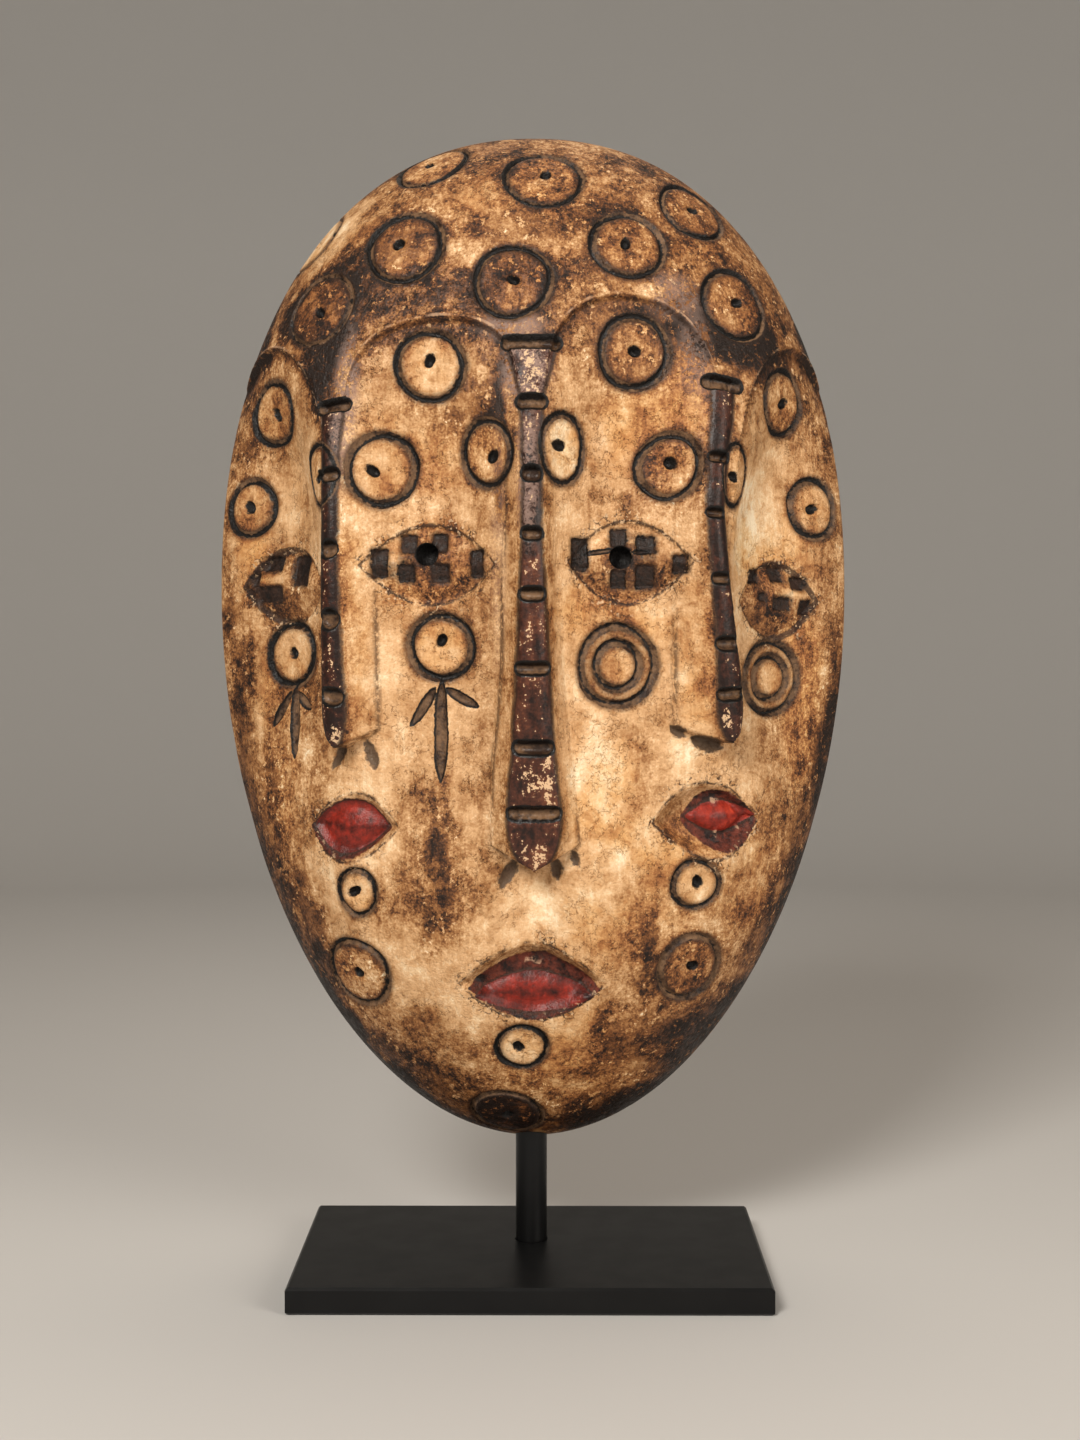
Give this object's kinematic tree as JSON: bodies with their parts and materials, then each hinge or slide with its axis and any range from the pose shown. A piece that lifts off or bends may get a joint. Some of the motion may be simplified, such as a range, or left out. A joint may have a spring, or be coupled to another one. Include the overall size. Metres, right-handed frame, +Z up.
{
  "type": "lega mask",
  "caption": "Carved half-egg wooden mask with three faces sharing eyes, ring marks all over and an open hollow back, upright on a black steel rod and a flat rectangular base plate.",
  "frame": {"origin": "centre of the base plate's underside", "axes": "+Z up along the rod, +X to the right seen from the front, +Y from the faces towards the open back"},
  "size_m": [0.24, 0.1072, 0.432],
  "materials": {
    "painted_wood": "worn ivory clay paint over brown wood, with dark cut marks and red lips",
    "black_steel": "satin black"
  },
  "bodies": {
    "root": {"mask": "painted_wood", "rod": "black_steel", "base_plate": "black_steel"}
  },
  "joints": []
}
